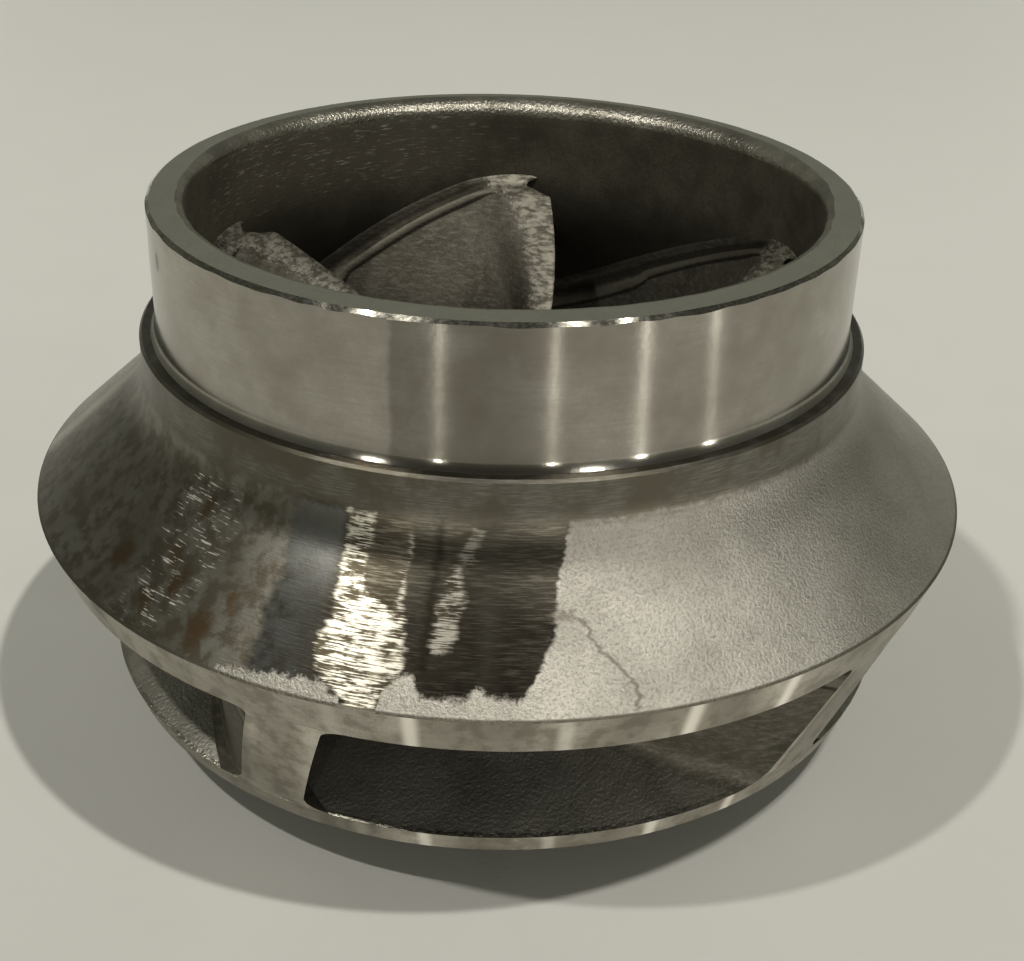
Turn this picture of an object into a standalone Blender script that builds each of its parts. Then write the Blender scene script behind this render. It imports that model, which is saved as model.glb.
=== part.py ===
# Mixed-flow pump impeller, closed type, standing on the end of its hub with its eye upwards.
# Metres, +Z towards the eye. The origin is on the shaft's axis, at the hub's foot.

import math

import bmesh
import bpy

# Driving dimensions
NECK_RADIUS = 0.0900            # turned outside of the neck ring
EYE_RADIUS = 0.0807             # bore of the neck ring, where the water enters
TOTAL_HEIGHT = 0.1413           # hub foot to the neck ring's face
NECK_LENGTH = 0.0340
COLLAR_RADIUS = 0.0943
RIM_RADIUS = 0.12375            # widest circle, at the front shroud's rim
RIM_HEIGHT = 0.0654
OUTLET_TAPER = math.radians(20)  # the turned outlet leans inwards towards the hub
VANE_COUNT = 5

# Heights on the turned outlet, from the rim downwards
FRONT_LIP_HEIGHT = 0.0552       # inside edge of the front shroud
BACK_LIP_HEIGHT = 0.0198        # inside edge of the back shroud
BACK_RIM_HEIGHT = 0.0145        # lower edge of the back shroud

# Bends and slopes of the two shrouds, seen in section
FRONT_SLOPE = math.radians(42.5)
FRONT_OUTER_BEND = 0.0180
FRONT_INNER_BEND = 0.0342
BACK_SLOPE = math.radians(28)
BACK_UNDER_SLOPE = math.radians(25.5)
BACK_BEND = 0.0540
BACK_FILLET = 0.0060

# Hub
NOSE_RADIUS = 0.0360
NOSE_HEIGHT = 0.0925
BOSS_RADIUS = 0.0402
BORE_RADIUS = 0.0225

# Edge details of the turned rings
RING_CHAMFER = 0.0018
EYE_ROUNDING = 0.0020
UNDERCUT_DEPTH = 0.0010
UNDERCUT_HEIGHT = 0.0010
COLLAR_CHAMFER = 0.0017
HUB_CHAMFER = 0.0010

# Vanes: the azimuths are those of vane 1 and turn anticlockwise seen from the eye
EDGE_AT_EYE_HEIGHT = 0.1200     # where the leading edge meets the eye's wall
EDGE_AT_HUB_HEIGHT = 0.0905
EDGE_AT_EYE_ANGLE = math.radians(84.5)
EDGE_AT_HUB_ANGLE = math.radians(71)
WRAP_AT_FRONT = math.radians(91)
WRAP_AT_BACK = math.radians(97.5)
TWIST_AT_FRONT = (1.9, 0.7)     # rate of turning at the leading and at the outlet end
TWIST_AT_BACK = (1.4, 0.9)
THICKNESS_AT_EYE = 0.0065
THICKNESS_AT_OUTLET = 0.0098
NOSE_SHARE = 0.05               # share of a vane's length taken by its rounded nose

# Fineness of the solids
GAP = 0.0003                    # between pieces that touch
TURN_STEPS = 72
BEND_STEPS = 6
ROUNDING_STEPS = 3
VANE_STEPS_ALONG = 18
VANE_STEPS_ACROSS = 5
CURVE_STEPS = 60
SHARP_ANGLE = math.radians(30)

NECK_BASE_HEIGHT = TOTAL_HEIGHT - NECK_LENGTH
COLLAR_TOP_HEIGHT = NECK_BASE_HEIGHT - GAP


def clear_scene():
    for old in list(bpy.data.objects):
        bpy.data.objects.remove(old, do_unlink=True)


def new_collection(name):
    collection = bpy.data.collections.new(name)
    bpy.context.scene.collection.children.link(collection)
    return collection


def metal(name, colour, roughness):
    """A bare metal surface."""
    material = bpy.data.materials.new(name)
    material.use_nodes = True
    shader = material.node_tree.nodes["Principled BSDF"]
    shader.inputs["Base Color"].default_value = (*colour, 1.0)
    shader.inputs["Metallic"].default_value = 1.0
    shader.inputs["Roughness"].default_value = roughness
    return material


def add_object(name, mesh, material, collection):
    mesh.materials.append(material)
    body = bpy.data.objects.new(name, mesh)
    collection.objects.link(body)
    return body


def outlet_radius(height):
    """Radius of the turned outlet cone at a height."""
    return RIM_RADIUS - (RIM_HEIGHT - height) * math.tan(OUTLET_TAPER)


def outlet_point(height):
    return outlet_radius(height), height


def arc(centre, radius, start, end, steps):
    """Points of an arc as (radius, height), with angles from the outward direction."""
    points = []
    for i in range(steps + 1):
        angle = start + (end - start) * i / steps
        points.append((centre[0] + radius * math.cos(angle), centre[1] + radius * math.sin(angle)))
    return points


def bend_centre(start_radius, bend, slope, end):
    """Centre of the bend between a vertical wall and a straight slope that ends at a point."""
    turn = math.pi / 2 - slope
    bend_end = start_radius + bend * (1 - math.cos(turn))
    bend_end_height = end[1] + (end[0] - bend_end) * math.tan(slope)
    return start_radius + bend, bend_end_height + bend * math.sin(turn)


def flare(start_radius, bend, slope, end, steps):
    """A vertical wall that bends outwards into a straight slope, which ends at a point."""
    centre = bend_centre(start_radius, bend, slope, end)
    turn = math.pi / 2 - slope
    return arc(centre, bend, math.pi, math.pi + turn, steps) + [end]


def shade_round(mesh):
    """Smooth shading, with the turned edges left sharp."""
    mesh.shade_smooth()
    mesh.set_sharp_from_angle(angle=SHARP_ANGLE)


def turned(name, outline, material, collection):
    """A solid of revolution. The outline runs down its outer side and back up its inner side."""
    section = bpy.data.meshes.new(name + "_section")
    points = [(radius, 0.0, height) for radius, height in outline]
    edges = [(i, (i + 1) % len(points)) for i in range(len(points))]
    section.from_pydata(points, edges, [])
    body = add_object(name, section, material, collection)
    screw = body.modifiers.new("Turn", "SCREW")
    screw.axis = "Z"
    screw.angle = math.tau
    screw.steps = TURN_STEPS
    screw.render_steps = TURN_STEPS
    screw.use_merge_vertices = True
    screw.merge_threshold = 0.00001
    finished = body.evaluated_get(bpy.context.evaluated_depsgraph_get())
    body.data = bpy.data.meshes.new_from_object(finished)
    body.modifiers.remove(screw)
    shade_round(body.data)


def neck_ring(material, collection):
    """The turned ring round the eye, with its chamfer and the undercut at its base."""
    undercut_radius = NECK_RADIUS - UNDERCUT_DEPTH
    undercut_top = NECK_BASE_HEIGHT + UNDERCUT_HEIGHT
    outline = [
        (NECK_RADIUS - RING_CHAMFER, TOTAL_HEIGHT),
        (NECK_RADIUS, TOTAL_HEIGHT - RING_CHAMFER),
        (NECK_RADIUS, undercut_top + UNDERCUT_DEPTH),
        (undercut_radius, undercut_top),
        (undercut_radius, NECK_BASE_HEIGHT),
        (EYE_RADIUS, NECK_BASE_HEIGHT),
    ]
    rounding_centre = (EYE_RADIUS + EYE_ROUNDING, TOTAL_HEIGHT - EYE_ROUNDING)
    outline += arc(rounding_centre, EYE_ROUNDING, math.pi, math.pi / 2, ROUNDING_STEPS)
    turned("neck_ring", outline, material, collection)


def front_shroud(material, collection):
    """The bell round the vanes, from the collar under the neck ring to the widest rim."""
    outer = flare(COLLAR_RADIUS, FRONT_OUTER_BEND, FRONT_SLOPE, (RIM_RADIUS, RIM_HEIGHT), BEND_STEPS)
    lip = outlet_point(FRONT_LIP_HEIGHT)
    inner = flare(EYE_RADIUS, FRONT_INNER_BEND, FRONT_SLOPE, lip, BEND_STEPS)
    outline = [
        (COLLAR_RADIUS - COLLAR_CHAMFER, COLLAR_TOP_HEIGHT),
        (COLLAR_RADIUS, COLLAR_TOP_HEIGHT - COLLAR_CHAMFER),
    ]
    outline += outer
    outline += reversed(inner)
    outline.append((EYE_RADIUS, COLLAR_TOP_HEIGHT))
    turned("front_shroud", outline, material, collection)


def hub_bend(start_radius, end_radius):
    """The part of the hub's water side that bends outwards, between two radii."""
    centre = bend_centre(NOSE_RADIUS, BACK_BEND, BACK_SLOPE, outlet_point(BACK_LIP_HEIGHT))
    start = math.pi + math.acos((centre[0] - start_radius) / BACK_BEND)
    end = math.pi + math.acos((centre[0] - end_radius) / BACK_BEND)
    return arc(centre, BACK_BEND, start, end, BEND_STEPS)


def hub_boss(material, collection):
    """The bored hub: its nose stands in the eye, and the impeller rests on its foot."""
    outline = [(NOSE_RADIUS - HUB_CHAMFER, NOSE_HEIGHT), (NOSE_RADIUS, NOSE_HEIGHT - HUB_CHAMFER)]
    outline += hub_bend(NOSE_RADIUS, BOSS_RADIUS)
    outline += [
        (BOSS_RADIUS, HUB_CHAMFER),
        (BOSS_RADIUS - HUB_CHAMFER, 0.0),
        (BORE_RADIUS + HUB_CHAMFER, 0.0),
        (BORE_RADIUS, HUB_CHAMFER),
        (BORE_RADIUS, NOSE_HEIGHT - HUB_CHAMFER),
        (BORE_RADIUS + HUB_CHAMFER, NOSE_HEIGHT),
    ]
    turned("hub_boss", outline, material, collection)


def back_shroud(material, collection):
    """The disc that carries the vanes on the hub's side, thicker towards the hub."""
    inner_radius = BOSS_RADIUS + GAP
    bend_end_radius = NOSE_RADIUS + BACK_BEND * (1 - math.sin(BACK_SLOPE))
    outline = hub_bend(inner_radius, bend_end_radius)
    outline.append(outlet_point(BACK_LIP_HEIGHT))
    rim = outlet_point(BACK_RIM_HEIGHT)
    outline.append(rim)
    fillet_radius = inner_radius + BACK_FILLET
    under_height = rim[1] + (rim[0] - fillet_radius) * math.tan(BACK_UNDER_SLOPE)
    fillet_centre = (fillet_radius, under_height - BACK_FILLET / math.cos(BACK_UNDER_SLOPE))
    fillet_start = math.pi / 2 - BACK_UNDER_SLOPE
    outline += arc(fillet_centre, BACK_FILLET, fillet_start, math.pi, ROUNDING_STEPS)
    turned("back_shroud", outline, material, collection)


def lip_height(height, slope, side):
    """A lip's height moved along the outlet until it clears the shroud by the gap."""
    return height + side * GAP / (math.cos(slope) + math.tan(OUTLET_TAPER) * math.sin(slope))


def vane_edge_curves():
    """The vane's two long edges in section, each a gap away from its shroud."""
    front_lip = outlet_point(lip_height(FRONT_LIP_HEIGHT, FRONT_SLOPE, -1))
    front = flare(EYE_RADIUS - GAP, FRONT_INNER_BEND + GAP, FRONT_SLOPE, front_lip, CURVE_STEPS)
    front.insert(0, (EYE_RADIUS - GAP, EDGE_AT_EYE_HEIGHT))
    back_lip = outlet_point(lip_height(BACK_LIP_HEIGHT, BACK_SLOPE, 1))
    back = flare(NOSE_RADIUS + GAP, BACK_BEND - GAP, BACK_SLOPE, back_lip, CURVE_STEPS)
    back.insert(0, (NOSE_RADIUS + GAP, EDGE_AT_HUB_HEIGHT))
    return back, front


def curve_length(curve):
    return sum(math.dist(a, b) for a, b in zip(curve, curve[1:]))


def point_along(curve, share):
    """The point at a share of a curve's length."""
    left = share * curve_length(curve)
    for a, b in zip(curve, curve[1:]):
        step = math.dist(a, b)
        if left <= step:
            return a[0] + (b[0] - a[0]) * left / step, a[1] + (b[1] - a[1]) * left / step
        left -= step
    return curve[-1]


def mix(a, b, share):
    return a + (b - a) * share


def turning(share, rates):
    """Share of the wrap reached at a share of the length, and how fast it grows there."""
    start, end = rates
    square = 3 - 2 * start - end
    cube = start + end - 2
    reached = start * share + square * share**2 + cube * share**3
    rate = start + 2 * square * share + 3 * cube * share**2
    return reached, rate


def vane_section(share, across, curves):
    """Radius, height, azimuth and half the angular width of a vane at one place."""
    back, front = curves
    back_point = point_along(back, share)
    front_point = point_along(front, share)
    radius = mix(back_point[0], front_point[0], across)
    height = mix(back_point[1], front_point[1], across)
    back_reached, back_rate = turning(share, TWIST_AT_BACK)
    front_reached, front_rate = turning(share, TWIST_AT_FRONT)
    back_angle = EDGE_AT_HUB_ANGLE + WRAP_AT_BACK * back_reached
    front_angle = EDGE_AT_EYE_ANGLE + WRAP_AT_FRONT * front_reached
    length = mix(curve_length(back), curve_length(front), across)
    rate = mix(WRAP_AT_BACK * back_rate, WRAP_AT_FRONT * front_rate, across)
    vane_angle = math.atan2(length, radius * rate)
    thickness = mix(THICKNESS_AT_EYE, THICKNESS_AT_OUTLET, share)
    nose = math.sqrt(1 - (1 - min(1.0, share / NOSE_SHARE)) ** 2)
    half_width = nose * thickness / (2 * radius * math.sin(vane_angle))
    return radius, height, mix(back_angle, front_angle, across), half_width


def polar(radius, angle, height):
    return radius * math.cos(angle), radius * math.sin(angle), height


def add_patch(build, rows):
    """Faces between neighbouring rows of points."""
    grid = [[build.verts.new(point) for point in row] for row in rows]
    for upper, lower in zip(grid, grid[1:]):
        for i in range(len(upper) - 1):
            build.faces.new((upper[i], upper[i + 1], lower[i + 1], lower[i]))


def vane_mesh(name):
    """One vane, lofted from its rounded nose in the eye to its turned end on the outlet."""
    curves = vane_edge_curves()
    # The steps are closer together round the nose.
    shares = [(i / VANE_STEPS_ALONG) ** 1.5 for i in range(VANE_STEPS_ALONG + 1)]
    acrosses = [i / VANE_STEPS_ACROSS for i in range(VANE_STEPS_ACROSS + 1)]

    def spot(share, across, side):
        radius, height, angle, half_width = vane_section(share, across, curves)
        return polar(radius, angle + side * half_width, height)

    build = bmesh.new()
    for side in (-1, 1):
        add_patch(build, [[spot(share, across, side) for across in acrosses] for share in shares])
    for across in (0.0, 1.0):
        add_patch(build, [[spot(share, across, side) for side in (-1, 0, 1)] for share in shares])
    add_patch(build, [[spot(1.0, across, side) for side in (-1, 0, 1)] for across in acrosses])
    bmesh.ops.remove_doubles(build, verts=build.verts, dist=0.000001)
    bmesh.ops.recalc_face_normals(build, faces=build.faces)
    mesh = bpy.data.meshes.new(name)
    build.to_mesh(mesh)
    build.free()
    shade_round(mesh)
    return mesh


def vanes(material, collection):
    """Equal vanes, evenly spaced round the shaft."""
    for i in range(VANE_COUNT):
        name = f"vane_{i + 1}"
        vane = add_object(name, vane_mesh(name), material, collection)
        vane.rotation_euler.z = math.tau * i / VANE_COUNT


clear_scene()
impeller = new_collection("pump_impeller")

ring_steel = metal("turned_ring", (0.42, 0.42, 0.39), 0.28)
shroud_steel = metal("ground_casting", (0.33, 0.32, 0.29), 0.42)
vane_steel = metal("cast_vane", (0.27, 0.25, 0.22), 0.55)
back_steel = metal("cast_back", (0.25, 0.24, 0.21), 0.58)
hub_steel = metal("bored_hub", (0.30, 0.29, 0.26), 0.45)

neck_ring(ring_steel, impeller)
front_shroud(shroud_steel, impeller)
vanes(vane_steel, impeller)
back_shroud(back_steel, impeller)
hub_boss(hub_steel, impeller)
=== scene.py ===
import math

import bpy
from mathutils import Matrix, Vector, noise


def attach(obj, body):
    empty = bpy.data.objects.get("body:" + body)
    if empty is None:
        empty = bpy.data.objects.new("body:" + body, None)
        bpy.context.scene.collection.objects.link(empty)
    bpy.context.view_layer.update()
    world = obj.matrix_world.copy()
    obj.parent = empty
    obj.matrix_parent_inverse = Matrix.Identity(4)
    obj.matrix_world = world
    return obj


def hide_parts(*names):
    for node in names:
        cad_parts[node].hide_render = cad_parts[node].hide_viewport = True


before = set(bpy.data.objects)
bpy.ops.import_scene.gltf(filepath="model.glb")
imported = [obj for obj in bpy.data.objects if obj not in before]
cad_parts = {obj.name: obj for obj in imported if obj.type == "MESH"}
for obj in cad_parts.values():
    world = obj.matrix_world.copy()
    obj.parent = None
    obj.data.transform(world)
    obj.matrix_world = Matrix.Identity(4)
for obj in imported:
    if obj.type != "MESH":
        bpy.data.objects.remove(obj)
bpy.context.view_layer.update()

# The viewpoint: the impeller stands at arm's length and is seen from about 29 degrees above,
# through a lens of ordinary length, with the camera held very slightly askew.
camera_place = Vector((0.0, -0.38657, 0.26636))
lens = 55.12
yaw, pitch, roll = 0.0095, 0.4986, 0.0282
ahead = Vector((math.sin(yaw) * math.cos(pitch), math.cos(yaw) * math.cos(pitch), -math.sin(pitch)))
across = Vector((math.cos(yaw), -math.sin(yaw), 0.0))
upward = across.cross(ahead)
right = math.cos(roll) * across + math.sin(roll) * upward
top = math.cos(roll) * upward - math.sin(roll) * across

bpy.ops.object.select_all(action="DESELECT")
bpy.ops.object.camera_add(location=camera_place)
camera = bpy.context.object
camera.name = "camera"
camera.data.lens = lens
camera.data.sensor_width = 36.0
camera.data.clip_start = 0.01
turn = Matrix((right, top, -ahead)).transposed()
camera.matrix_world = Matrix.Translation(camera_place) @ turn.to_4x4()
bpy.context.scene.camera = camera


# The floor: one large sheet of pale, uncoated board, matt, with the faint clouds that paper fibre
# gives it. It isn't part of the impeller.
class Finish:
    """One surface finish: a material that is built up node by node."""

    def __init__(self, name, metallic, roughness):
        self.material = bpy.data.materials.new(name)
        self.material.use_nodes = True
        self.tree = self.material.node_tree
        self.shader = self.tree.nodes["Principled BSDF"]
        self.shader.inputs["Metallic"].default_value = metallic
        self.shader.inputs["Roughness"].default_value = roughness
        self.place = self.node("ShaderNodeTexCoord").outputs["Object"]
        split = self.node("ShaderNodeSeparateXYZ", {}, {0: self.place})
        turned_by = self.calc("ARCTAN2", split.outputs["Y"], split.outputs["X"])
        self.azimuth = self.calc("MULTIPLY", turned_by, 57.29578)  # degrees
        self.height = self.calc("MULTIPLY", split.outputs["Z"], 1000.0)  # millimetres

    def feed(self, socket, value):
        if isinstance(value, bpy.types.NodeSocket):
            self.tree.links.new(value, socket)
        else:
            socket.default_value = value

    def node(self, kind, settings={}, inputs={}):
        made = self.tree.nodes.new(kind)
        for name, value in settings.items():
            setattr(made, name, value)
        for name, value in inputs.items():
            self.feed(made.inputs[name], value)
        return made

    def calc(self, operation, *values):
        inputs = dict(enumerate(values))
        return self.node("ShaderNodeMath", {"operation": operation}, inputs).outputs[0]

    def grain(self, size, detail=2.0, rough=0.5, stretch=(1, 1, 1), warp=0.0):
        """Noise from 0 to 1 whose lumps are about the given size, squeezed along an axis."""
        scaled = {0: self.place, 1: [share / size for share in stretch]}
        place = self.node("ShaderNodeVectorMath", {"operation": "MULTIPLY"}, scaled).outputs[0]
        inputs = {"Vector": place, "Scale": 1.0, "Detail": detail, "Roughness": rough}
        inputs["Distortion"] = warp
        return self.node("ShaderNodeTexNoise", {}, inputs).outputs["Fac"]

    def fade(self, value, start, end):
        """0 before start, 1 after end, smooth between; start may be the larger."""
        inputs = {"Value": value, "From Min": start, "From Max": end}
        return self.node("ShaderNodeMapRange", {"interpolation_type": "SMOOTHSTEP"}, inputs).outputs[0]

    def between(self, share, low, high):
        """A number that goes from low to high as share goes from 0 to 1."""
        return self.node("ShaderNodeMix", {"data_type": "FLOAT"}, {0: share, 2: low, 3: high}).outputs[0]

    def tint(self, share, low, high):
        """A colour that goes from low to high as share goes from 0 to 1."""
        ends = [(*c, 1.0) if isinstance(c, tuple) else c for c in (low, high)]
        inputs = {0: share, 6: ends[0], 7: ends[1]}
        return self.node("ShaderNodeMix", {"data_type": "RGBA"}, inputs).outputs[2]

    def relief(self, height, depth, under=None):
        """A bump of the given depth in metres, over another one or over the plain surface."""
        inputs = {"Height": height, "Distance": depth, "Strength": 1.0}
        if under:
            inputs["Normal"] = under
        return self.node("ShaderNodeBump", {}, inputs).outputs[0]

    def finish(self, **sockets):
        for name, value in sockets.items():
            self.feed(self.shader.inputs[name.replace("_", " ")], value)
        return self.material


bpy.ops.object.select_all(action="DESELECT")
bpy.ops.mesh.primitive_plane_add(size=6.0, location=(0, 0, -0.0002))
floor = bpy.context.object
floor.name = "floor"
board = Finish("pale_board", 0.0, 0.75)
board_clouds = board.tint(board.grain(0.05, 3.0), (0.66, 0.66, 0.615), (0.72, 0.72, 0.675))
board_depth = board.node("ShaderNodeSeparateXYZ", {}, {0: board.place}).outputs["Y"]
# Painted light falloff: the board is coloured darker towards the front and lighter towards the back.
front_falloff_shade = board.fade(board_depth, 0.1, -0.32)
board_metal = board.tint(board.calc("MULTIPLY", front_falloff_shade, 0.6), board_clouds, (0.53, 0.525, 0.50))
back_falloff_light = board.calc("MULTIPLY", board.fade(board_depth, -0.05, 0.4), 0.6)
board_metal = board.tint(back_falloff_light, board_metal, (0.80, 0.80, 0.755))
board_tooth = board.relief(board.grain(0.0012, 2.0), 0.00004)
board.finish(Base_Color=board_metal, Normal=board_tooth)
floor.data.materials.append(board.material)


# The light: a soft, dim room with two lamps high above, which throw the two overlapping shadows,
# and small lamps low down all round, which draw the thin upright glints on the turned steel.
def lamp(name, azimuth, elevation, distance, size, power, colour=(1.0, 0.97, 0.9)):
    bpy.ops.object.select_all(action="DESELECT")
    flat = math.cos(elevation) * distance
    height = math.sin(elevation) * distance
    place = Vector((flat * math.cos(azimuth), flat * math.sin(azimuth), height))
    bpy.ops.object.light_add(type="AREA", location=place)
    light = bpy.context.object
    light.name = name
    light.rotation_euler = place.to_track_quat("Z", "Y").to_euler()
    light.data.shape = "DISK"
    light.data.size = size
    light.data.energy = power
    light.data.color = colour


overhead_lamps = {"lamp_upper_right": (-34.5, 69, 82.0), "lamp_upper_left": (-151, 61, 58.0)}
for name, (azimuth, elevation, power) in overhead_lamps.items():
    lamp(name, math.radians(azimuth), math.radians(elevation), 4.5, 0.16, power)

low_lamps = {-107.6: 6.5, -74.8: 6.5, -48.2: 9.0, -25.6: 8.0, 66.0: 2.5, 114.0: 2.5}
for number, (azimuth, power) in enumerate(low_lamps.items()):
    lamp(f"lamp_low_{number + 1}", math.radians(azimuth), math.radians(3.5), 2.4, 0.025, power)

world = bpy.data.worlds.new("room")
bpy.context.scene.world = world
world.use_nodes = True
air = world.node_tree
direction = air.nodes.new("ShaderNodeTexCoord")
split = air.nodes.new("ShaderNodeSeparateXYZ")
room = air.nodes.new("ShaderNodeValToRGB")
air.links.new(direction.outputs["Generated"], split.inputs[0])
air.links.new(split.outputs["Z"], room.inputs[0])
room.color_ramp.elements[0].position = 0.05
room.color_ramp.elements[0].color = (0.20, 0.205, 0.165, 1.0)
room.color_ramp.elements[1].position = 0.85
room.color_ramp.elements[1].color = (0.10, 0.10, 0.09, 1.0)
air.links.new(room.outputs[0], air.nodes["Background"].inputs["Color"])
bpy.context.scene.view_settings.view_transform = "Standard"


# The neck ring: the cylinder round the eye that runs in the pump's wear ring. It is cast in one
# with the rest, turned outside and faced on top, and left as cast in its bore.
neck_radius = 0.0900
eye_radius = 0.0807
total_height = 0.1413
neck_base = 0.1073
ring_chamfer = 0.0009
eye_rounding = 0.0020
foot_bend, foot_turn = 0.0026, math.radians(62)


def lathe(name, outline, segments):
    """A turned shape: its outline is drawn point by point, and spun once round the shaft's axis."""
    bpy.ops.object.select_all(action="DESELECT")
    start = (outline[0][0], 0.0, outline[0][1])
    bpy.ops.mesh.primitive_plane_add(size=0.001, location=start)
    piece = bpy.context.object
    piece.name = piece.data.name = name
    bpy.ops.object.transform_apply(location=True, rotation=False, scale=False)
    bpy.ops.object.mode_set(mode="EDIT")
    bpy.ops.mesh.select_all(action="SELECT")
    bpy.ops.mesh.merge(type="CENTER")
    for before, after in zip(outline, outline[1:] + outline[:1]):
        step = (after[0] - before[0], 0.0, after[1] - before[1])
        bpy.ops.mesh.extrude_vertices_move(TRANSFORM_OT_translate={"value": step})
    bpy.ops.mesh.select_all(action="SELECT")
    bpy.ops.mesh.remove_doubles(threshold=0.000002)
    bpy.ops.mesh.select_all(action="SELECT")
    bpy.ops.mesh.spin(steps=segments, angle=math.tau, center=(0, 0, 0), axis=(0, 0, 1))
    bpy.ops.mesh.select_all(action="SELECT")
    bpy.ops.mesh.remove_doubles(threshold=0.000002)
    bpy.ops.mesh.normals_make_consistent(inside=False)
    bpy.ops.object.mode_set(mode="OBJECT")
    bpy.ops.object.shade_smooth_by_angle(angle=math.radians(28))
    return piece


def straight(start, end, steps):
    """Evenly spaced points from start towards end, without end itself."""
    return [
        (start[0] + (end[0] - start[0]) * i / steps, start[1] + (end[1] - start[1]) * i / steps)
        for i in range(steps)
    ]


def arc(centre, radius, start, end, steps):
    angles = [start + (end - start) * i / steps for i in range(steps + 1)]
    return [(centre[0] + radius * math.cos(a), centre[1] + radius * math.sin(a)) for a in angles]


def paint(piece, finishes, choose):
    """Gives each face the finish that choose names, from its radius, height and outward normal."""
    for material in finishes:
        piece.data.materials.append(material)
    for face in piece.data.polygons:
        radius = math.hypot(face.center.x, face.center.y)
        outward = (face.normal.x * face.center.x + face.normal.y * face.center.y) / radius
        face.material_index = choose(radius, face.center.z, outward)


rounding_centre = (eye_radius + eye_rounding, total_height - eye_rounding)
ring_outline = [(neck_radius - ring_chamfer, total_height)]
foot_centre = (neck_radius + foot_bend, neck_base - 0.0002 + foot_bend * math.sin(foot_turn))
ring_outline += straight((neck_radius, total_height - ring_chamfer), (neck_radius, foot_centre[1]), 14)
ring_outline += arc(foot_centre, foot_bend, math.pi, math.pi + foot_turn, 8)
ring_outline += [(ring_outline[-1][0], neck_base - 0.0008)]
ring_outline += straight((eye_radius, neck_base - 0.0008), (eye_radius, total_height - 0.0065), 12)
ring_outline += [(eye_radius, total_height - 0.0065)]
ring_outline += arc(rounding_centre, eye_rounding, math.pi, math.pi / 2, 6)
neck_ring = lathe("turned_neck_ring", ring_outline, 320)

# The chamfer was broken by hand, so its two edges wander a little, and the eye's inner edge was
# rounded more on one side, from 2 mm at the front to 6 mm wide and 4.5 mm deep at the back.
for point in neck_ring.data.vertices:
    radius = math.hypot(point.co.x, point.co.y)
    azimuth = math.atan2(point.co.y, point.co.x)
    ripple = noise.noise(Vector((math.cos(azimuth), math.sin(azimuth), 0.3)) * 14)
    if radius < eye_radius + eye_rounding + 0.00001 and point.co.z > total_height - eye_rounding - 0.00001:
        on_arc = math.atan2(point.co.z - rounding_centre[1], radius - rounding_centre[0])
        more = max(0.0, math.sin(azimuth + 0.1)) ** 0.8
        new_radius = eye_radius + (eye_rounding + 0.0040 * more + 0.0004 * ripple) * (1 + math.cos(on_arc))
        point.co.z = total_height - (eye_rounding + 0.0025 * more + 0.0003 * ripple) * (1 - math.sin(on_arc))
        point.co.x *= new_radius / radius
        point.co.y *= new_radius / radius
    if abs(radius - neck_radius) < 0.00001 and abs(point.co.z - total_height + ring_chamfer) < 0.0001:
        point.co.z += 0.0005 * ripple
    elif abs(radius - neck_radius + ring_chamfer) < 0.0001 and point.co.z > total_height - 0.0001:
        point.co.x *= 1 + 0.0012 * ripple
        point.co.y *= 1 + 0.0012 * ripple


def turned_steel(name, light, dark, roughness):
    """Stainless steel from the lathe: fine grooves round the shaft that smear light upright."""
    steel = Finish(name, 1.0, roughness)
    clouds = steel.grain(0.024, 4.0, 0.6)
    bands = steel.grain(0.0006, 2.0, 0.6, stretch=(0.06, 0.06, 1))
    grit = steel.grain(0.0006, 2.0, 0.6)
    steel.metal = steel.tint(steel.fade(clouds, 0.34, 0.68), dark, light)
    steel.metal = steel.tint(steel.calc("MULTIPLY", steel.fade(bands, 0.35, 0.65), 0.35), steel.metal, dark)
    steel.metal = steel.tint(steel.calc("MULTIPLY", steel.fade(grit, 0.35, 0.65), 0.35), steel.metal, dark)
    steel.rough = steel.calc("MULTIPLY_ADD", clouds, 0.06, roughness - 0.03)
    steel.normal = steel.relief(steel.calc("MULTIPLY_ADD", bands, 0.4, steel.grain(0.0015, 1.0)), 0.000009)
    axis = steel.node("ShaderNodeTangent", {"direction_type": "RADIAL", "axis": "Z"})
    steel.finish(Anisotropic=1.0, Anisotropic_Rotation=0.25, Tangent=axis.outputs[0])
    return steel


ring_side = turned_steel("turned_steel", (0.46, 0.44, 0.39), (0.33, 0.31, 0.27), 0.16)
# Painted reflection: a dark, mottled zone on the front of the ring, from azimuth -105 to -76, stands in for a dark
# shape reflected in the turned steel.
edge_left = ring_side.fade(ring_side.calc("MULTIPLY_ADD", ring_side.grain(0.004, 2.0), 1.2, ring_side.azimuth), -105.2, -104.0)
painted_dark_reflection = ring_side.calc("MULTIPLY", edge_left, ring_side.fade(ring_side.azimuth, -76, -90))
patches = ring_side.grain(0.011, 4.0, 0.62)
painted_dark_reflection = ring_side.calc("MULTIPLY", painted_dark_reflection, ring_side.between(patches, 1.0, 0.2))
ring_metal = ring_side.tint(painted_dark_reflection, ring_side.metal, (0.13, 0.122, 0.098))
smudges = ring_side.fade(patches, 0.62, 0.36)
ring_metal = ring_side.tint(ring_side.calc("MULTIPLY", smudges, 0.3), ring_metal, (0.24, 0.21, 0.17))
gouge_across = ring_side.calc("MULTIPLY", ring_side.calc("ADD", ring_side.azimuth, 155.5), 0.8)
gouge_along = ring_side.calc("MULTIPLY", ring_side.calc("SUBTRACT", ring_side.height, 132.7), 0.36)
gouge = ring_side.calc("POWER", ring_side.calc("ADD", ring_side.calc("POWER", gouge_across, 2.0), ring_side.calc("POWER", gouge_along, 2.0)), 0.5)
ring_metal = ring_side.tint(ring_side.fade(gouge, 1.1, 0.6), ring_metal, (0.05, 0.045, 0.035))
ring_side.finish(Base_Color=ring_metal, Roughness=ring_side.rough, Normal=ring_side.normal)

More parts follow.
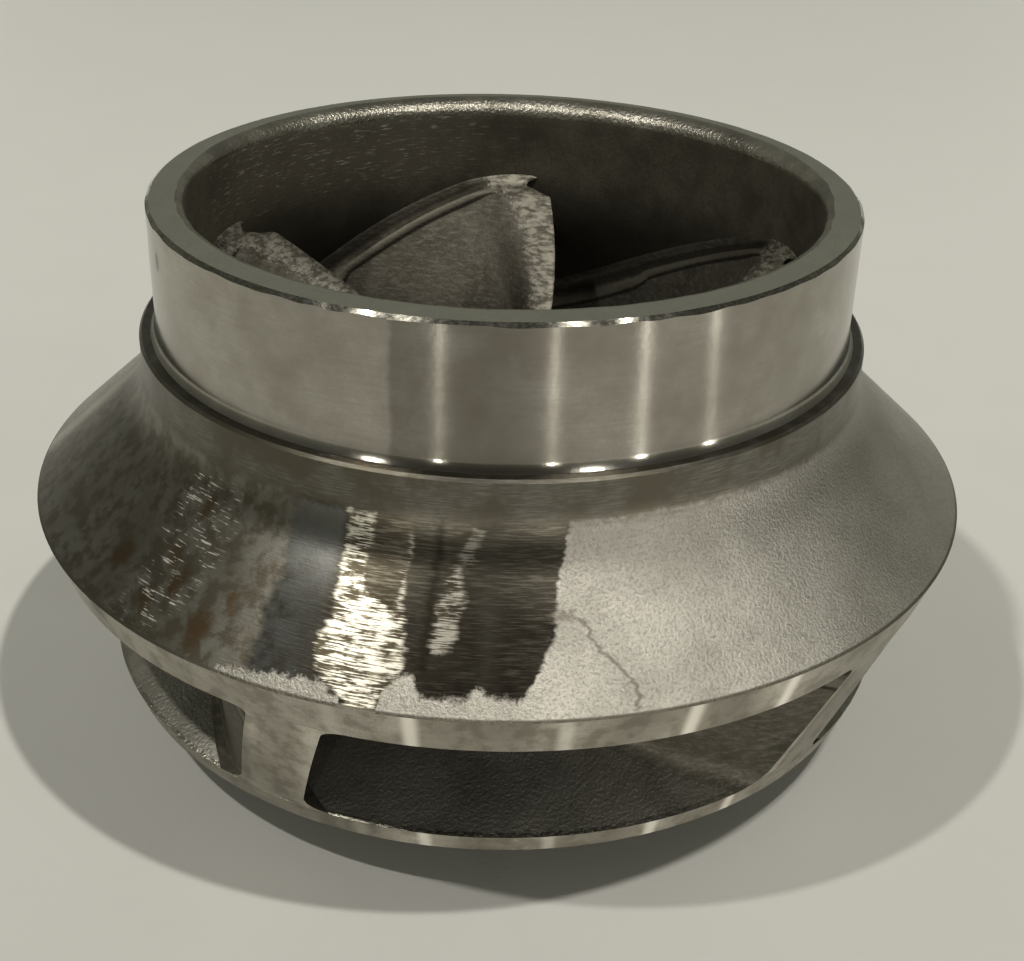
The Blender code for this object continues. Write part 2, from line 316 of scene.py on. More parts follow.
# The lips and chamfers were cut with a fresh edge: smooth, dull steel that glints where it faces a lamp.
lip_steel = Finish("smooth_lip", 1.0, 0.1)
lip_marks = lip_steel.grain(0.0009, 3.0, 0.65)
lip_steel.finish(
    Base_Color=lip_steel.tint(lip_steel.fade(lip_marks, 0.4, 0.62), (0.19, 0.18, 0.15), (0.30, 0.29, 0.25)),
    Roughness=lip_steel.between(lip_marks, 0.11, 0.22),
    Normal=lip_steel.relief(lip_marks, 0.000018),
)

# Painted shade and grime: the corner at the ring's foot is coloured dark.
corner_steel = Finish("corner_painted_shade", 1.0, 0.3)
corner_marks = corner_steel.grain(0.003, 3.0)
corner_steel.finish(Base_Color=corner_steel.tint(corner_marks, (0.08, 0.074, 0.06), (0.17, 0.16, 0.13)))

ring_face = Finish("faced_steel", 1.0, 0.5)
face_clouds = ring_face.grain(0.012, 4.0)
face_scratches = ring_face.grain(0.0006, 3.0)
ring_face.finish(
    Base_Color=ring_face.tint(face_clouds, (0.40, 0.41, 0.34), (0.50, 0.51, 0.43)),
    Roughness=ring_face.between(face_scratches, 0.38, 0.6),
    Normal=ring_face.relief(face_scratches, 0.00001),
)


def cast_skin(name, light, dark, grain_size, depth, roughness):
    """Stainless steel as it leaves the sand: fine pebbles over shallow waves, with dull stains."""
    skin = Finish(name, 1.0, roughness)
    skin.pebbles = skin.grain(grain_size, 2.0, 0.6)
    skin.clouds = skin.grain(0.018, 4.0, 0.65)
    skin.metal = skin.tint(skin.fade(skin.clouds, 0.3, 0.7), dark, light)
    hollows = skin.fade(skin.pebbles, 0.58, 0.36)
    skin.metal = skin.tint(skin.calc("MULTIPLY", hollows, 0.4), skin.metal, dark)
    skin.rough = skin.between(skin.pebbles, roughness + 0.08, roughness - 0.08)
    skin.normal = skin.relief(skin.pebbles, depth)
    return skin


bore_skin = cast_skin("cast_bore", (0.26, 0.24, 0.195), (0.13, 0.12, 0.095), 0.0008, 0.0001, 0.6)
scoured = bore_skin.calc("MULTIPLY", bore_skin.fade(bore_skin.azimuth, 80, 118), bore_skin.fade(bore_skin.azimuth, 178, 150))
scoured = bore_skin.calc("MULTIPLY", scoured, bore_skin.fade(bore_skin.height, 112, 128))
flecks = bore_skin.fade(bore_skin.grain(0.0005, 3.0, 0.65, stretch=(0.12, 0.12, 1)), 0.55, 0.75)
bore_metal = bore_skin.tint(bore_skin.calc("MULTIPLY", scoured, 0.65), bore_skin.metal, (0.33, 0.30, 0.25))
bore_metal = bore_skin.tint(bore_skin.calc("MULTIPLY", scoured, flecks), bore_metal, (0.95, 0.91, 0.80))
# Painted shade: the bore is coloured nearly black towards its foot, below 121 mm, where the ring wall's shadow falls.
deep = bore_skin.calc("MULTIPLY", bore_skin.fade(bore_skin.height, 121, 104), 0.85)
bore_metal = bore_skin.tint(deep, bore_metal, (0.05, 0.047, 0.037))
bore_skin.finish(Base_Color=bore_metal, Roughness=bore_skin.rough, Normal=bore_skin.normal)

# The eye's rounded inner edge was dressed by hand: brighter, and still lumpy from the sand.
bead_steel = cast_skin("dressed_bead", (0.50, 0.475, 0.41), (0.25, 0.235, 0.195), 0.0011, 0.00034, 0.38)
bead_steel.finish(Base_Color=bead_steel.metal, Roughness=bead_steel.rough, Normal=bead_steel.normal)


def ring_choice(radius, height, outward):
    if outward < -0.996 or height < neck_base - 0.0004:
        return 2
    if outward < -0.05:
        return 4
    if height > total_height - 0.00001:
        return 1
    if radius > neck_radius + 0.0013:
        return 5
    return 3 if height > total_height - ring_chamfer * 1.5 else 0


ring_finishes = (ring_side, ring_face, bore_skin, lip_steel, bead_steel, corner_steel)
paint(neck_ring, [finish.material for finish in ring_finishes], ring_choice)
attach(neck_ring, "root")
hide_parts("neck_ring")


# The front shroud: the bell that closes the vanes on the eye's side. It is cast, its cone was
# partly smoothed with a hand grinder, and its collar and rim are turned.
collar_radius = 0.0943
collar_chamfer = 0.0007
rim_radius = 0.12375
rim_height = 0.0654
outlet_taper = math.radians(20)
front_lip = 0.0552
front_slope = math.radians(42.5)
front_outer_bend = 0.0180
front_inner_bend = 0.0342


def outlet_point(height):
    """Radius and height of a point on the turned outlet, which leans in towards the hub."""
    return rim_radius - (rim_height - height) * math.tan(outlet_taper), height


def bend_centre(start_radius, bend, slope, end):
    turned_by = math.pi / 2 - slope
    bend_end = start_radius + bend * (1 - math.cos(turned_by))
    bend_end_height = end[1] + (end[0] - bend_end) * math.tan(slope)
    return start_radius + bend, bend_end_height + bend * math.sin(turned_by)


def flare(start_radius, bend, slope, end, bend_steps, slope_steps):
    """A vertical wall that bends outwards into a straight slope, which ends at a point."""
    centre = bend_centre(start_radius, bend, slope, end)
    curve = arc(centre, bend, math.pi, math.pi + math.pi / 2 - slope, bend_steps)
    return curve[:-1] + straight(curve[-1], end, slope_steps) + [end]


shroud_outline = [(collar_radius - collar_chamfer, 0.1070), (collar_radius, 0.1070 - collar_chamfer)]
shroud_outline += flare(collar_radius, front_outer_bend, front_slope, (rim_radius, rim_height), 10, 20)
shroud_outline += straight(outlet_point(rim_height - 0.0005), outlet_point(front_lip), 3)
shroud_inside = flare(eye_radius, front_inner_bend, front_slope, outlet_point(front_lip), 16, 10)
shroud_outline += shroud_inside[::-1]
shroud_outline += [(eye_radius, 0.1070)]
front_shroud = lathe("cast_front_shroud", shroud_outline, 384)


class Casting(Finish):
    """A finish that also follows the strokes of the hand grinder."""

    def line(self, value, points):
        """The height of a line of straight parts through the points, read at value."""
        spots = sorted(points)
        start, width = spots[0][0], spots[-1][0] - spots[0][0]
        foot = min(y for x, y in spots)
        rise = max(y for x, y in spots) - foot + 1.0
        share = self.calc("DIVIDE", self.calc("SUBTRACT", value, start), width)
        curve = self.node("ShaderNodeFloatCurve", {}, {"Value": share})
        curve.mapping.extend = "HORIZONTAL"
        line = curve.mapping.curves[0]
        spots = [((x - start) / width, (y - foot) / rise) for x, y in spots]
        line.points[0].location, line.points[1].location = spots[0], spots[-1]
        for spot in spots[1:-1]:
            line.points.new(*spot)
        for spot in line.points:
            spot.handle_type = "VECTOR"
        curve.mapping.update()
        return self.calc("MULTIPLY_ADD", curve.outputs[0], rise, foot)

    def stroke(self, left, right, soft=0.5):
        """1 between two edges, drawn by (height, azimuth) points, and between their ends."""
        low = min(h for h, a in left)
        high = max(h for h, a in left)
        inside = self.fade(self.calc("SUBTRACT", self.wander, self.line(self.height, left)), -soft, soft)
        outside = self.fade(self.calc("SUBTRACT", self.line(self.height, right), self.wander), -soft, soft)
        ends = self.calc("MULTIPLY", self.fade(self.rise, low - 0.7, low + 0.7), self.fade(self.rise, high + 0.7, high - 0.7))
        return self.calc("MULTIPLY", self.calc("MULTIPLY", inside, outside), ends)

    def spot(self, azimuth, height, width, tall):
        """1 in the middle of a soft round spot, 0 outside it."""
        side = self.calc("DIVIDE", self.calc("SUBTRACT", self.wander, azimuth), width)
        rise = self.calc("DIVIDE", self.calc("SUBTRACT", self.rise, height), tall)
        away = self.calc("SQRT", self.calc("ADD", self.calc("MULTIPLY", side, side), self.calc("MULTIPLY", rise, rise)))
        return self.fade(away, 1.0, 0.3)


cone = Casting("ground_casting", 1.0, 0.4)
shake = cone.grain(0.008, 2.0, 0.55)
comb = cone.grain(0.0010, 1.0, 0.6, stretch=(0.14, 0.14, 1))
ragged = cone.calc("MULTIPLY_ADD", comb, 1.4, -2.0)
cone.wander = cone.calc("ADD", cone.azimuth, cone.calc("MULTIPLY_ADD", shake, 2.6, ragged))
cone.rise = cone.calc("ADD", cone.height, cone.calc("MULTIPLY_ADD", cone.grain(0.0018, 3.0, 0.7), 3.4, -1.7))

# What the grinder left: bands running from the collar down to the rim, with the scratches of its disc lying across
# them. Their light and dark are mostly painted reflection: the same steel coloured bright where it caught a lamp and
# dark where it faced away.
field_right = ((69, -86.8), (71, -85.6), (75, -84.5), (83, -83), (92, -81), (98, -80.8))
left_field = cone.stroke(((60, -175), (98, -175)), ((60, -115.5), (72, -115.8), (98, -117.5)), 1.2)
blue_band = cone.stroke(((60, -116), (72, -116.3), (84, -117), (96, -118)), ((60, -108), (72, -109.6), (96, -110.6)), 0.9)
highlight_stroke = cone.stroke(
    ((63, -104), (66.5, -105), (69, -107.8), (71, -109.2), (74, -109.6), (80, -109.0), (86, -109.6), (96.5, -110.2)),
    ((63, -102.6), (67, -101.6), (70, -99.4), (74, -99.8), (80, -101.0), (83, -105.6), (86, -107.0), (96.5, -106.0)),
    0.4,
)
brown_stroke = cone.stroke(((80, -107.2), (97, -106.6)), ((80, -100.6), (97, -100.6)))
thin_glint = cone.stroke(((78, -101.8), (93, -101.2)), ((78, -101.0), (93, -100.7)), 0.4)
dark_field = cone.stroke(((64, -101.2), (72, -100.0), (98, -101.2)), field_right, 0.3)
valley_shade = cone.stroke(((72, -98.0), (98, -98.0)), ((72, -96.9), (98, -97.1)), 0.8)
ridge_sheen = cone.stroke(((71, -92), (97, -91.6)), ((71, -90.4), (97, -89.4)), 1.2)
upper_glint = cone.stroke(((88, -94.8), (95, -93.4)), ((88, -93.0), (95, -91.8)), 0.5)
lower_glint = cone.stroke(((75, -97.0), (82, -96.6), (88, -95.4)), ((75, -95.0), (82, -94.2), (88, -94.0)), 0.5)
glint_bands = cone.stroke(
    ((66, -136.5), (72, -134.5), (80, -136.4), (93, -137.4)),
    ((66, -130.5), (74, -126.6), (86, -125.6), (93, -127.0)),
    1.0,
)
collar_side = cone.fade(cone.rise, 95.0, 98.0)
foot = cone.line(cone.azimuth, (
    (-176, 60), (-122, 60), (-119.5, 66.4), (-114, 67.7), (-109.5, 68.4), (-107.5, 68.2), (-105.6, 66.5), (-104.6, 60), (-102.2, 60),
    (-101.4, 68.4), (-99.8, 71.4), (-98.4, 71.2), (-97.6, 68.6), (-93, 68.4), (-91.8, 70.4), (-90, 69.0), (-87.2, 68.8), (-85.4, 71.6),
))
above_foot = cone.fade(cone.calc("SUBTRACT", cone.rise, foot), -0.7, 0.7)
within = cone.fade(cone.calc("SUBTRACT", cone.line(cone.height, field_right), cone.wander), -0.3, 0.3)
ground = cone.calc("MULTIPLY", cone.calc("MULTIPLY", within, above_foot), cone.fade(cone.azimuth, -178, -173))
ground = cone.calc("MAXIMUM", ground, collar_side)

pebbles = cone.grain(0.00074, 4.0, 0.62)
clouds = cone.grain(0.016, 4.0, 0.65)
brush = cone.grain(0.00027, 2.0, 0.6, stretch=(0.055, 0.055, 1))
patches = cone.grain(0.0045, 3.0, 0.6)
scratches = cone.calc("MULTIPLY_ADD", patches, 0.5, brush)
flash = cone.fade(scratches, 0.69, 0.84)
spark = cone.fade(scratches, 0.85, 0.96)

metal = cone.tint(cone.fade(clouds, 0.3, 0.7), (0.42, 0.40, 0.35), (0.56, 0.535, 0.475))
metal = cone.tint(cone.calc("MULTIPLY", cone.fade(pebbles, 0.56, 0.34), 0.4), metal, (0.17, 0.157, 0.13))
# Painted shade: the cast skin is coloured darker towards the collar, from 80 to 96 mm up.
metal = cone.tint(cone.calc("MULTIPLY", cone.fade(cone.height, 80, 96), 0.62), metal, (0.17, 0.16, 0.14))
metal = cone.tint(cone.calc("MULTIPLY", cone.fade(cone.azimuth, -66, -36), 0.42), metal, (0.19, 0.18, 0.16))
grime = cone.tint(cone.fade(clouds, 0.32, 0.68), (0.155, 0.142, 0.112), (0.215, 0.207, 0.175))
grime = cone.tint(cone.fade(patches, 0.6, 0.38), grime, (0.12, 0.106, 0.08))
# Painted reflection: the blue band, the brown stroke and the dark field are coloured dark where their ground steel
# faced away from the lamps, the blue band darker towards -110 where the lamp's real highlight is strong, and all three
# lighter from 78 to 90 mm up; the brown's hue is its own.
near = cone.fade(cone.height, 78, 90)
blue = cone.tint(cone.fade(cone.azimuth, -119, -110), (0.072, 0.073, 0.067), (0.036, 0.036, 0.032))
blue = cone.tint(cone.fade(patches, 0.64, 0.36), blue, (0.032, 0.030, 0.025))
blue = cone.tint(near, blue, cone.tint(patches, (0.11, 0.11, 0.10), (0.18, 0.18, 0.168)))
dull = cone.tint(cone.fade(clouds, 0.38, 0.62), (0.022, 0.019, 0.014), (0.037, 0.033, 0.0255))
dull = cone.tint(cone.fade(brush, 0.46, 0.74), dull, (0.070, 0.063, 0.049))
upper_dark_reflection = cone.tint(cone.fade(brush, 0.42, 0.70), (0.058, 0.052, 0.040), (0.120, 0.110, 0.088))
dull = cone.tint(near, dull, upper_dark_reflection)
dirt = cone.tint(left_field, dull, grime)
dirt = cone.tint(blue_band, dirt, blue)
brown = cone.tint(cone.fade(brush, 0.5, 0.78), (0.030, 0.025, 0.0165), (0.16, 0.14, 0.10))
brown = cone.tint(near, brown, cone.tint(cone.fade(brush, 0.42, 0.7), (0.07, 0.06, 0.043), (0.20, 0.18, 0.14)))
dirt = cone.tint(brown_stroke, dirt, brown)
# Painted shade in the valley and painted sheen on the ridge.
dirt = cone.tint(cone.calc("MULTIPLY", valley_shade, 0.75), dirt, (0.018, 0.015, 0.011))
dirt = cone.tint(cone.calc("MULTIPLY", ridge_sheen, 0.4), dirt, (0.075, 0.069, 0.056))
for azimuth, height, wide in ((-140.2, 74, 1.8), (-132.2, 79, 1.6), (-129.5, 75, 1.8), (-123.8, 70, 2.2), (-132, 88, 1.3), (-132.2, 70.5, 1.6), (-121, 76, 1.2)):
    rust = cone.calc("MULTIPLY", cone.spot(azimuth, height, wide, wide * 2.2), 0.75)
    dirt = cone.tint(rust, dirt, (0.10, 0.062, 0.028))
# Painted highlights: the bright stroke, the thin line and the two glints are coloured near white with gold between, and
# the glint bands on the left get white sparks, where the ground steel caught a lamp.
glints = cone.calc("MAXIMUM", cone.calc("MULTIPLY", thin_glint, 0.55), cone.calc("MULTIPLY", upper_glint, 0.3))
glints = cone.calc("MAXIMUM", glints, cone.calc("MULTIPLY", lower_glint, 0.6))
glints = cone.calc("MAXIMUM", glints, highlight_stroke)
gold = cone.tint(cone.fade(patches, 0.42, 0.62), (0.072, 0.061, 0.040), (0.24, 0.215, 0.16))
dirt = cone.tint(glints, dirt, cone.tint(flash, gold, (0.78, 0.745, 0.64)))
dirt = cone.tint(cone.calc("MULTIPLY", glint_bands, spark), dirt, (1.0, 0.97, 0.88))
collar_metal = cone.tint(cone.fade(brush, 0.36, 0.7), (0.115, 0.107, 0.090), (0.185, 0.175, 0.15))
collar_metal = cone.tint(cone.fade(clouds, 0.58, 0.38), collar_metal, (0.105, 0.095, 0.072))
lowest = cone.calc("MULTIPLY", cone.fade(cone.rise, 99.5, 97), 0.5)
collar_metal = cone.tint(lowest, collar_metal, (0.09, 0.082, 0.063))
dirt = cone.tint(collar_side, dirt, collar_metal)
metal = cone.tint(ground, metal, dirt)

# A hairline where the casting's skin was torn, and the burr that the lathe turned up at the rim.
crack = cone.stroke(
    ((66.4, -76.0), (69, -75.7), (72, -76.7), (74.6, -78.0), (77, -79.7), (79, -79.8), (80.9, -82)),
    ((66.4, -75.5), (69, -75.2), (72, -76.2), (74.6, -77.5), (77, -79.2), (79, -79.3), (80.9, -81.0)),
    0.2,
)
crack = cone.calc("MAXIMUM", crack, cone.stroke(((80.2, -84), (81.4, -84)), ((80.2, -81), (81.4, -81)), 0.25))
metal = cone.tint(cone.calc("MULTIPLY", crack, 0.6), metal, (0.12, 0.105, 0.08))
metal = cone.tint(cone.fade(cone.height, 66.1, 65.7), metal, (0.13, 0.12, 0.095))

# The relief keeps to simpler edges than the colours do.
plain = cone.fade(cone.calc("SUBTRACT", cone.line(cone.height, field_right), cone.azimuth), -0.6, 0.6)
plain = cone.calc("MULTIPLY", plain, cone.fade(cone.calc("SUBTRACT", cone.height, foot), -1.0, 1.0))
plain = cone.calc("MAXIMUM", plain, cone.fade(cone.height, 95.8, 97.4))
smooth = cone.between(plain, 1.0, 0.06)
grains = cone.calc("MULTIPLY", cone.calc("SUBTRACT", pebbles, 0.5), smooth)
lines = cone.calc("MULTIPLY", cone.calc("SUBTRACT", brush, 0.5), cone.calc("MULTIPLY", plain, 0.07))
cone_rough = cone.between(ground, 0.43, 0.38)
cone.finish(Base_Color=metal, Roughness=cone_rough, Normal=cone.relief(cone.calc("ADD", grains, lines), 0.00033))

rim_steel = turned_steel("turned_rim", (0.58, 0.545, 0.475), (0.32, 0.297, 0.245), 0.30)
stains = rim_steel.fade(rim_steel.grain(0.006, 4.0, 0.65), 0.52, 0.38)
rim_metal = rim_steel.tint(rim_steel.calc("MULTIPLY", stains, 0.45), rim_steel.metal, (0.20, 0.175, 0.135))
chip = rim_steel.calc("MULTIPLY", rim_steel.fade(rim_steel.azimuth, -140.8, -140.0), rim_steel.fade(rim_steel.azimuth, -137.2, -138.0))
chip = rim_steel.calc("MULTIPLY", chip, rim_steel.fade(rim_steel.height, 59.5, 61.5))
rim_metal = rim_steel.tint(chip, rim_metal, (0.15, 0.135, 0.105))
# Painted highlights: soft bright streaks in the rim's colour where the low lamps' reflections run down the turned band.
for azimuth, strength in ((-106.7, 0.25), (-98.3, 0.7), (-82.7, 0.4), (-69.2, 0.7), (-57.4, 0.7)):
    away = rim_steel.calc("ABSOLUTE", rim_steel.calc("SUBTRACT", rim_steel.azimuth, azimuth))
    lamp_streak_highlight = rim_steel.calc("MULTIPLY", rim_steel.fade(away, 1.3, 0.2), strength)
    rim_metal = rim_steel.tint(lamp_streak_highlight, rim_metal, (0.98, 0.94, 0.84))
rim_steel.finish(Base_Color=rim_metal, Roughness=rim_steel.rough, Normal=rim_steel.normal)

passage_skin = cast_skin("cast_passage", (0.46, 0.44, 0.385), (0.27, 0.256, 0.22), 0.0009, 0.00022, 0.5)
passage_skin.finish(Base_Color=passage_skin.metal, Roughness=passage_skin.rough, Normal=passage_skin.normal)


def shroud_choice(radius, height, outward):
    if outward < -0.02:
        return 2
    return 1 if height < rim_height - 0.0002 else 0


shroud_finishes = (cone, rim_steel, bore_skin)
paint(front_shroud, [finish.material for finish in shroud_finishes], shroud_choice)
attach(front_shroud, "root")
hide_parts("front_shroud")


# The back shroud: the disc that carries the vanes on the hub's side. It is cast, thicker towards
# the hub, and only its narrow outer edge is turned together with the rim and the vane ends.
nose_radius = 0.0360
nose_height = 0.0925
boss_radius = 0.0402
bore_radius = 0.0225
hub_chamfer = 0.0010
back_lip = 0.0198
back_rim = 0.0145
back_slope = math.radians(28)
under_slope = math.radians(25.5)
back_bend = 0.0540
back_fillet = 0.0060


def hub_bend(start_radius, end_radius, steps):
    """The part of the hub's water side that bends outwards, between two radii."""
    centre = bend_centre(nose_radius, back_bend, back_slope, outlet_point(back_lip))
    start = math.pi + math.acos((centre[0] - start_radius) / back_bend)
    end = math.pi + math.acos((centre[0] - end_radius) / back_bend)
    return arc(centre, back_bend, start, end, steps)


inner_radius = boss_radius - 0.0010
bend_end_radius = nose_radius + back_bend * (1 - math.sin(back_slope))
back_outline = hub_bend(inner_radius, bend_end_radius, 14)
lip_start = (outlet_point(back_lip)[0] - 0.0011, back_lip + 0.0011 * math.tan(back_slope))
back_outline = back_outline[:-1] + straight(back_outline[-1], lip_start, 12) + [lip_start]
back_outline += straight(outlet_point(back_lip), outlet_point(back_rim), 2)
rim_end = outlet_point(back_rim)
fillet_radius = boss_radius + back_fillet
under_height = rim_end[1] + (rim_end[0] - fillet_radius) * math.tan(under_slope)
fillet_centre = (fillet_radius, under_height - back_fillet / math.cos(under_slope))
back_outline += straight(rim_end, (fillet_radius, under_height), 10)[:10]
back_outline += arc(fillet_centre, back_fillet, math.pi / 2 - under_slope, math.pi, 6)
back_outline += [(inner_radius, fillet_centre[1])]
back_shroud = lathe("cast_back_shroud", back_outline, 288)


def back_choice(radius, height, outward):
    if radius > outlet_point(height)[0] - 0.0003:
        return 1
    return 2 if radius > lip_start[0] and height > back_lip else 0


paint(back_shroud, (passage_skin.material, rim_steel.material, bead_steel.material), back_choice)
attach(back_shroud, "root")
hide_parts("back_shroud")


# The hub: the bored boss that the shaft runs through. Its nose stands in the eye, the vanes grow
# from it, and the impeller rests on its turned foot.
hub_outline = [(nose_radius - 0.0030, nose_height), (nose_radius - 0.0009, nose_height - 0.0009)]
hub_outline += [(nose_radius, nose_height - 0.0030)]
hub_outline += hub_bend(nose_radius, boss_radius, 10)
hub_outline += straight((boss_radius, 0.0300), (boss_radius, hub_chamfer), 4)
hub_outline += [(boss_radius, hub_chamfer), (boss_radius - hub_chamfer, 0.0)]
hub_outline += [(bore_radius + hub_chamfer, 0.0), (bore_radius, hub_chamfer)]
hub_outline += [(bore_radius, nose_height - hub_chamfer), (bore_radius + hub_chamfer, nose_height)]
hub_boss = lathe("bored_hub_boss", hub_outline, 192)

hub_steel = turned_steel("bored_steel", (0.42, 0.40, 0.35), (0.26, 0.24, 0.20), 0.33)
hub_steel.finish(Base_Color=hub_steel.metal, Roughness=hub_steel.rough, Normal=hub_steel.normal)


def hub_choice(radius, height, outward):
    return 1 if radius < bore_radius + 0.0015 or height < 0.0300 else 0


paint(hub_boss, (passage_skin.material, hub_steel.material), hub_choice)
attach(hub_boss, "root")
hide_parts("hub_boss")


# The vanes: five twisted blades cast in one with both shrouds. Each starts as a rounded nose in
# the eye, joins the shrouds in a raised root, and ends flush with the turned outlet.
edge_at_eye = (0.1200, math.radians(84.5))
edge_at_hub = (0.0905, math.radians(71))
wrap_front, wrap_back = math.radians(91), math.radians(97.5)
twist_front, twist_back = (1.9, 0.7), (1.4, 0.9)
vane_nose, vane_tail = 0.0065, 0.0098
nose_share = 0.032
root_profile = ((0.0, 0.0), (0.4, -0.2), (0.9, -1.2), (2.0, -2.0), (3.1, -1.4), (4.0, -0.2), (5.2, -0.3), (5.7, -1.3), (6.3, -1.6))
lead_profile = ((0.0, 0.014), (1.2, 0.020), (2.6, 0.023), (5.0, 0.016), (8.5, 0.0))


def along(curve, share):
    """The point at a share of a curve's length."""
    left = share * sum(math.dist(a, b) for a, b in zip(curve, curve[1:]))
    for a, b in zip(curve, curve[1:]):
        step = math.dist(a, b)
        if left <= step:
            return a[0] + (b[0] - a[0]) * left / step, a[1] + (b[1] - a[1]) * left / step
        left -= step
    return curve[-1]


def turning(share, rates):
    """Share of the wrap reached at a share of the length, and how fast it grows there."""
    start, end = rates
    square, cube = 3 - 2 * start - end, start + end - 2
    reached = start * share + square * share**2 + cube * share**3
    return reached, start + 2 * square * share + 3 * cube * share**2


front_curve = flare(eye_radius, front_inner_bend, front_slope, outlet_point(front_lip), 24, 24)
front_curve.insert(0, (eye_radius, edge_at_eye[0]))
back_curve = flare(nose_radius, back_bend, back_slope, outlet_point(back_lip), 24, 24)
back_curve.insert(0, (nose_radius, edge_at_hub[0]))
front_length = sum(math.dist(a, b) for a, b in zip(front_curve, front_curve[1:]))
back_length = sum(math.dist(a, b) for a, b in zip(back_curve, back_curve[1:]))


def mix(a, b, share):
    return a + (b - a) * share


def read_off(profile, distance):
    """The value of a profile, a list of (distance, value), at a distance."""
    for start, end in zip(profile, profile[1:]):
        if start[0] <= distance < end[0]:
            return mix(start[1], end[1], (distance - start[0]) / (end[0] - start[0]))
    return profile[0][1] if distance < profile[0][0] else profile[-1][1]


def vane_spot(share, across, side):
    """A point of a vane, and its distance from the front shroud in millimetres: share runs from
    nose to outlet, across from hub to front shroud."""
    to_front = math.dist(along(back_curve, share), along(front_curve, share)) * (1 - across)
    lead = read_off(lead_profile, to_front * 1000)
    from_nose, share = share, lead + (1 - lead) * share
    back_point, front_point = along(back_curve, share), along(front_curve, share)
    span = math.dist(back_point, front_point)
    radius, height = mix(back_point[0], front_point[0], across), mix(back_point[1], front_point[1], across)
    back_reached, back_rate = turning(share, twist_back)
    front_reached, front_rate = turning(share, twist_front)
    angle = mix(edge_at_hub[1] + wrap_back * back_reached, edge_at_eye[1] + wrap_front * front_reached, across)
    rate = mix(wrap_back * back_rate, wrap_front * front_rate, across)
    slant = math.atan2(mix(back_length, front_length, across), radius * rate)
    nose = math.sqrt(max(0.0, 1 - (1 - min(1.0, from_nose / nose_share)) ** 2))
    half = mix(vane_nose, vane_tail, share) / 2
    to_back = span * across
    fading = 1 - min(1.0, share / 0.6)
    wider = 1 + 0.3 * min(1.0, max(0.0, (share - 0.30) / 0.015))
    from_shroud = to_front * 1000 / wider
    half += 0.001 * fading * min(1.0, share / 0.07) * read_off(root_profile, from_shroud)
    for gap, fillet in ((to_front, 0.0026 * (1 - fading)), (to_back, mix(0.0020, 0.0040, share))):
        if gap < fillet:
            half += fillet - math.sqrt(max(0.0, fillet**2 - (fillet - max(0.0, gap)) ** 2))
    angle += side * nose * half / (radius * math.sin(slant))
    if share > 0.9999:
        radius = outlet_point(height)[0]
    return (radius * math.cos(angle), radius * math.sin(angle), height), from_shroud


across_steps = [-0.02, 0.0, 0.02, 0.05, 0.09, 0.14, 0.2, 0.28, 0.36, 0.44, 0.52, 0.6, 0.68, 0.75, 0.80, 0.83]
across_steps += [0.845, 0.86, 0.87, 0.88, 0.89, 0.90, 0.91, 0.92, 0.93, 0.942, 0.955, 0.967, 0.978, 0.986, 0.993, 1.0, 1.02]
rows = [(-0.02, 0)] + [(across, 1) for across in across_steps] + [(1.02, 0)]
side_steps = 44
shares = [(i / side_steps) ** 1.6 for i in range(side_steps + 1)]
land_sides = (0.0, 0.5)
loop = [(1.0, -side) for side in land_sides] + [(share, -1.0) for share in reversed(shares)]
loop += [(share, 1.0) for share in shares[1:]] + [(1.0, side) for side in reversed(land_sides)]

bpy.ops.object.select_all(action="DESELECT")
bpy.ops.mesh.primitive_grid_add(x_subdivisions=len(loop) - 1, y_subdivisions=len(rows) - 1, size=1.0)
first_vane = bpy.context.object
first_vane.name = first_vane.data.name = "cast_vane_1"
root_marks = first_vane.data.attributes.new("from_shroud", "FLOAT", "POINT")
for point in first_vane.data.vertices:
    column = round((point.co.x + 0.5) * (len(loop) - 1))
    across, width = rows[round((point.co.y + 0.5) * (len(rows) - 1))]
    share, side = loop[column]
    point.co, root_marks.data[point.index].value = vane_spot(share, across, side * width)
bpy.ops.object.mode_set(mode="EDIT")
bpy.ops.mesh.select_all(action="SELECT")
bpy.ops.mesh.remove_doubles(threshold=0.000002)
bpy.ops.mesh.normals_make_consistent(inside=False)
bpy.ops.object.mode_set(mode="OBJECT")
bpy.ops.object.shade_smooth_by_angle(angle=math.radians(40))

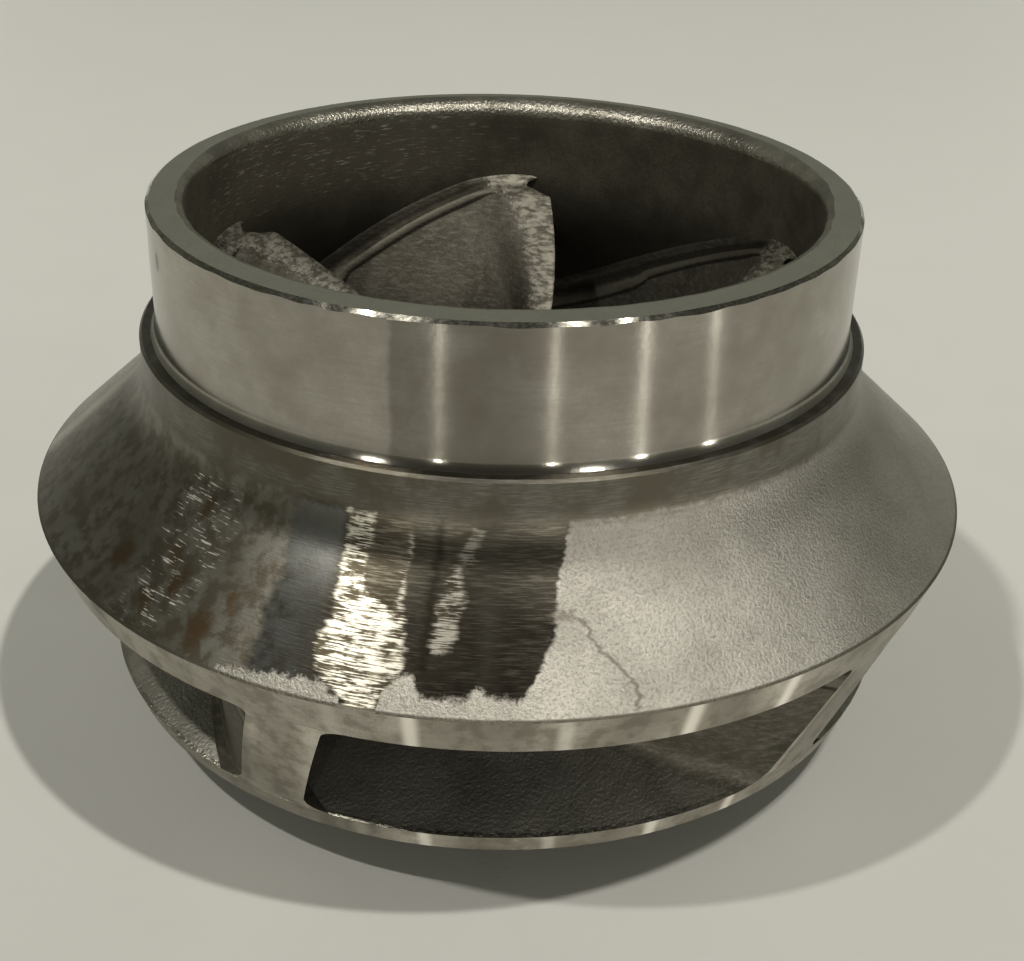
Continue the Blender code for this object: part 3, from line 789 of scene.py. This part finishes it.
vane_skin = cast_skin("cast_vane", (0.125, 0.115, 0.093), (0.072, 0.066, 0.052), 0.0008, 0.00010, 0.62)
rubbed = vane_skin.grain(0.0009, 3.0, 0.65, stretch=(0.3, 0.3, 1))
vane_metal = vane_skin.tint(vane_skin.fade(rubbed, 0.42, 0.70), vane_skin.metal, (0.155, 0.143, 0.118))
from_shroud = vane_skin.node("ShaderNodeAttribute", {"attribute_name": "from_shroud"}).outputs["Fac"]
# Painted shade and light along the vane root: the concave groove is coloured dark, the swell below it lighter, and the
# step a dark line.
groove_shade = vane_skin.calc("MULTIPLY", vane_skin.fade(from_shroud, 0.5, 1.2), vane_skin.fade(from_shroud, 3.5, 2.2))
vane_metal = vane_skin.tint(vane_skin.calc("MULTIPLY", groove_shade, 0.75), vane_metal, (0.03, 0.027, 0.021))
swell_sheen = vane_skin.calc("MULTIPLY", vane_skin.fade(from_shroud, 3.0, 4.0), vane_skin.fade(from_shroud, 5.6, 5.1))
vane_metal = vane_skin.tint(vane_skin.calc("MULTIPLY", swell_sheen, 0.6), vane_metal, (0.20, 0.185, 0.15))
step = vane_skin.fade(vane_skin.calc("ABSOLUTE", vane_skin.calc("SUBTRACT", from_shroud, 5.85)), 0.5, 0.15)
vane_metal = vane_skin.tint(vane_skin.calc("MULTIPLY", step, 0.8), vane_metal, (0.02, 0.018, 0.014))
flow = vane_skin.node("ShaderNodeTexCoord").outputs["UV"]
round_vane = vane_skin.node("ShaderNodeSeparateXYZ", {}, {0: flow}).outputs["X"]
from_nose = vane_skin.calc("ABSOLUTE", vane_skin.calc("SUBTRACT", round_vane, 0.5))
worn = vane_skin.fade(vane_skin.calc("MULTIPLY_ADD", vane_skin.pebbles, 0.05, from_nose), 0.064, 0.046)
nose_metal = vane_skin.tint(vane_skin.fade(rubbed, 0.38, 0.62), (0.12, 0.11, 0.088), (0.34, 0.32, 0.27))
vane_skin.finish(
    Base_Color=vane_skin.tint(worn, vane_metal, nose_metal),
    Roughness=vane_skin.rough,
    Normal=vane_skin.normal,
)


def vane_choice(radius, height, outward):
    return 1 if radius > outlet_point(height)[0] - 0.00015 else 0


paint(first_vane, (vane_skin.material, rim_steel.material), vane_choice)
for number in range(5):
    vane = first_vane
    if number:
        bpy.ops.object.select_all(action="DESELECT")
        first_vane.select_set(True)
        bpy.context.view_layer.objects.active = first_vane
        bpy.ops.object.duplicate()
        vane = bpy.context.object
        vane.name = vane.data.name = f"cast_vane_{number + 1}"
        vane.data.transform(Matrix.Rotation(math.tau * number / 5, 4, "Z"))
    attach(vane, "root")
    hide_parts(f"vane_{number + 1}")
